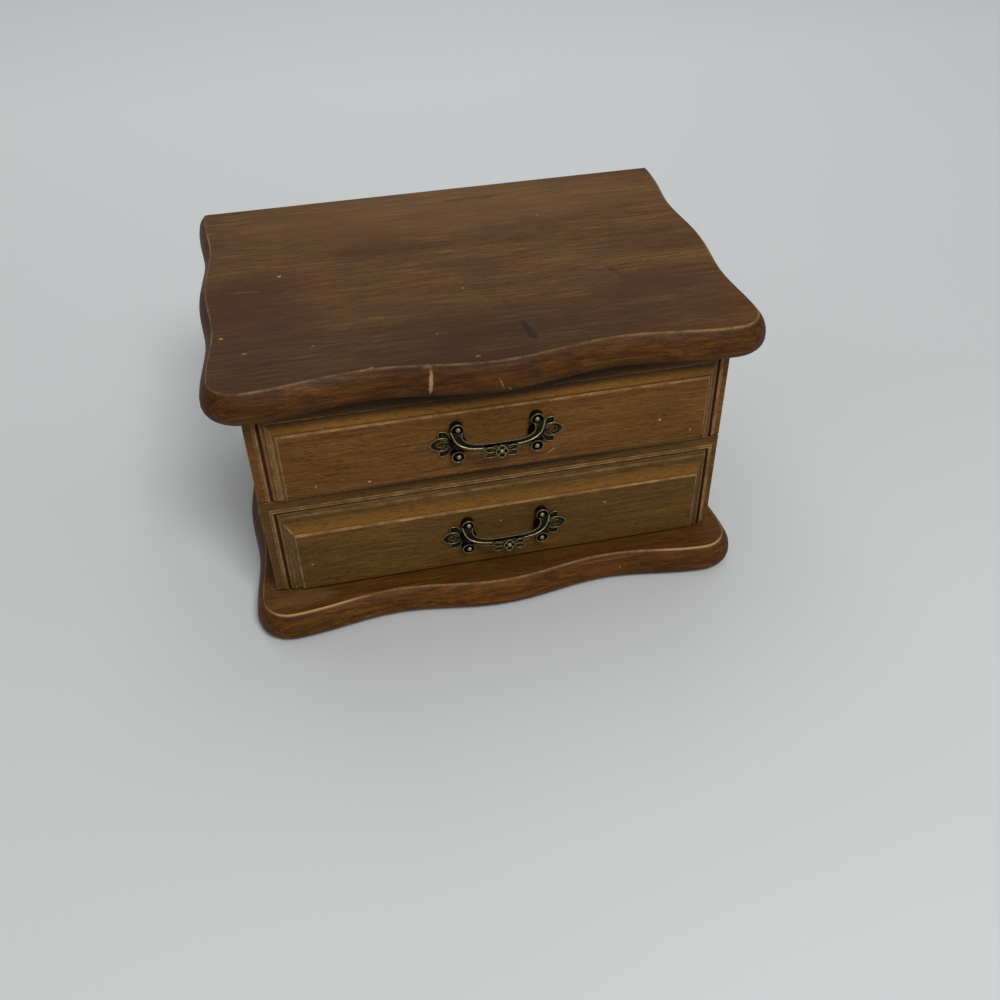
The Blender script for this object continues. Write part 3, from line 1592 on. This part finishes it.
        def wide(u: float) -> float:
            """Gives the bail's half width, which grows towards the scroll."""
            return 0.95 + 1.25 * u ** 3

        def laid(p: Vector) -> Vector:
            """Lays a point of a straight bar on the bow, and returns its place."""
            place, across = self.bow(p.x)
            return place + across * (p.z * wide(p.x)) + Vector((0.0, 0.6 * p.y, 0.0))

        bpy.ops.object.select_all(action="DESELECT")
        bpy.ops.mesh.primitive_cube_add(size=2 * MM, location=(0.5 * MM, 0.0, 0.0))
        band = bpy.context.object
        band.scale = (0.5, 1.0, 1.0)
        settle(band)
        with Hand(band) as hand:
            hand.pick_long_edges(0.5)
            bpy.ops.mesh.subdivide(number_cuts=cuts)
            hand.lay(laid)
            bpy.ops.mesh.select_all(action="SELECT")
            bpy.ops.mesh.normals_make_consistent(inside=False)
            hand.face_user(0.4)
            bpy.ops.mesh.inset(thickness=lip * MM, depth=0.0)
            hand.move((0.0, dip, 0.0))
        modified(band, "SUBSURF", {"levels": 1, "render_levels": 1})
        parts = [marked(band, 0.0)]
        steps = [k / 6 for k in range(7)]
        for side, radius, worn in ((-1, 0.36, 1.0), (1, 0.26, 0.3)):
            rail = []
            for u in steps:
                place, across = self.bow(u)
                rail.append(tuple(place + side * across * wide(u) + Vector((0.0, -0.4, 0.0))))
            parts.append(marked(wire(rail, [radius] * len(rail)), worn))
        branch = [(14.6, -2.4, -4.0), (12.6, -5.0, -2.6), (9.6, -7.6, -1.2), (6.6, -9.2, -0.4),
                  (3.6, -9.8, -0.2)]
        parts.append(marked(wire(branch, [0.6, 0.5, 0.42, 0.36, 0.26]), 0.5))
        x, y, z = self.flower
        for lift, angle in ((0.9, 8.0), (-0.9, -6.0)):
            parts.append(turned(self.lobe(5.4, 1.15), (x + 1.4, y + 0.3, z - 0.5 + lift), angle))
        return joined("bail", parts)

    def cast(self) -> bpy.types.Object:
        """Models a whole pull: one end, its mirror image, and the flower in the middle.

        Returns:
            The pull, about its own middle on the wood.
        """
        right = joined("pull_end", [
            self.palmette(), self.scroll((self.post - 0.4, -3.2, self.scroll_z + 0.5), 2.8),
            self.scroll((self.post - 0.3, -2.9, 1.0 - self.scroll_z), 2.9), self.bail()])
        left = copied(right, "pull_end_left")
        left.scale = (-1.0, 1.0, 1.0)
        settle(left)
        with Hand(left):
            bpy.ops.mesh.select_all(action="SELECT")
            bpy.ops.mesh.normals_make_consistent(inside=False)
        x, y, z = self.flower
        petals = [turned(self.lobe(length, self.petal_half, 0.9), (x, y - 0.2, z), angle)
                  for angle, length in self.petals]
        pull = joined("pull", [right, left, *petals, marked(ball((x, y - 1.0, z), (2.2, 2.0, 2.2)), 0.9)])
        only(pull)
        bpy.ops.object.shade_smooth_by_angle(angle=math.radians(50))
        return dressed(pull, self.finish.material())

    def build(self) -> None:
        """Casts one pull, copies it and sets both on the fronts."""
        upper = self.cast()
        lower = copied(upper, "lower_pull_cast")
        upper.name = upper.data.name = "upper_pull_cast"
        for piece, place, node, body in (
                (upper, self.upper, "upper_pull", "case"), (lower, self.lower, "lower_pull", "drawer")):
            piece.location = tuple(c * MM for c in place)
            fitted(settle(piece), node, body)


@dataclass
class Stage:
    """Floor, lights and camera. The camera stands where the photograph's stood."""

    # the camera's place in mm, its three angles in degrees, and its lens and sensor in mm
    eye: Place = (-67.19, -401.015, 346.1)
    yaw: float = 11.447
    pitch: float = 40.736
    roll: float = 1.295
    lens: float = 37.53
    sensor: float = 36.0
    # the floor's side and middle and the size of its clouds in mm, and its tones
    floor_side: float = 12000.0
    floor_middle: Place = (0.0, 2000.0, 0.0)
    floor_cloud: float = 500.0
    floor_shade: str = "#cbcdcd"
    floor_colour: str = "#cfd1d1"
    floor_far: str = "#e1e3e3"
    sky: str = "#e6e8ea"
    sky_strength: float = 0.38

    def floor(self) -> None:
        """Lays the flat pale floor, which grows a little paler behind the box."""
        g = Graph("pale_paper_floor")
        mm = g.place_in_mm()
        cloud = g.add("ShaderNodeTexNoise", None, {
            "Vector": mm, "Scale": 1 / self.floor_cloud, "Detail": 2.0}, "Fac")
        tone = g.add("ShaderNodeValToRGB", {"stops": [
            (0.3, linear(self.floor_shade)), (0.7, linear(self.floor_colour))]}, {"Fac": cloud}, "Color")
        depth = g.add("ShaderNodeSeparateXYZ", None, {"Vector": mm}, "Y")
        away = g.add("ShaderNodeMapRange", None, {"Value": depth, "From Min": 50.0, "From Max": 600.0})
        tone = g.add("ShaderNodeMix", {"data_type": "RGBA"},
                     {0: away, 6: tone, 7: linear(self.floor_far)}, 2)
        material = g.finish({"Base Color": tone, "Roughness": 0.7, "Specular IOR Level": 0.2})
        bpy.ops.object.select_all(action="DESELECT")
        bpy.ops.mesh.primitive_plane_add(size=self.floor_side * MM,
                                         location=tuple(c * MM for c in self.floor_middle))
        floor = bpy.context.object
        floor.name = "floor"
        dressed(settle(floor), material)

    def lamp(self, name: str, place: Place, size: float, power: float, aim: Place = (0, 0, 60)) -> None:
        """Adds a square soft lamp.

        Args:
            name: Name of the lamp.
            place: Its middle, in mm.
            size: Its side, in mm.
            power: Its power in watts.
            aim: The place that it faces, in mm.
        """
        data = bpy.data.lights.new(name, "AREA")
        data.shape, data.size, data.energy = "SQUARE", size * MM, power
        lamp = bpy.data.objects.new(name, data)
        bpy.context.scene.collection.objects.link(lamp)
        lamp.location = Vector(place) * MM
        way = (Vector(aim) - Vector(place)).normalized()
        lamp.rotation_euler = way.to_track_quat("-Z", "Y").to_euler()

    def light(self) -> None:
        """Lights the box softly from the front and above, with a fainter light from behind."""
        world = bpy.data.worlds.new("studio")
        bpy.context.scene.world = world
        world.use_nodes = True
        background = world.node_tree.nodes["Background"]
        background.inputs["Color"].default_value = linear(self.sky)
        background.inputs["Strength"].default_value = self.sky_strength
        self.lamp("window", (230.0, -935.0, 1210.0), 460.0, 12.5)
        self.lamp("ceiling", (0.0, 800.0, 1500.0), 1500.0, 8.0)

    def camera(self) -> None:
        """Puts the camera at the photograph's viewpoint."""
        yaw, pitch, roll = (math.radians(a) for a in (self.yaw, self.pitch, self.roll))
        ahead = Vector((math.sin(yaw) * math.cos(pitch), math.cos(yaw) * math.cos(pitch), -math.sin(pitch)))
        level = Vector((math.cos(yaw), -math.sin(yaw), 0.0))
        down = ahead.cross(level)
        right = math.cos(roll) * level + math.sin(roll) * down
        down = -math.sin(roll) * level + math.cos(roll) * down
        data = bpy.data.cameras.new("photo_camera")
        data.lens, data.sensor_width, data.clip_start = self.lens, self.sensor, 10 * MM
        camera = bpy.data.objects.new("photo_camera", data)
        bpy.context.scene.collection.objects.link(camera)
        turn = Matrix((right, -down, -ahead)).transposed()
        camera.matrix_world = Matrix.Translation(Vector(self.eye) * MM) @ turn.to_4x4()
        bpy.context.scene.camera = camera

    def build(self) -> None:
        """Sets the stage."""
        self.floor()
        self.light()
        self.camera()
        bpy.context.scene.view_settings.view_transform = "Standard"
        LOG.info("stage set")


def main() -> None:
    """Builds the box in order, and reports each piece."""
    logging.basicConfig(level=logging.INFO, format="%(name)s: %(message)s")
    for part in (Stage(), Boards(), Fronts(), Carcass(), Linings(), Hardware(), Pulls()):
        part.build()


if __name__ == "__main__":
    main()
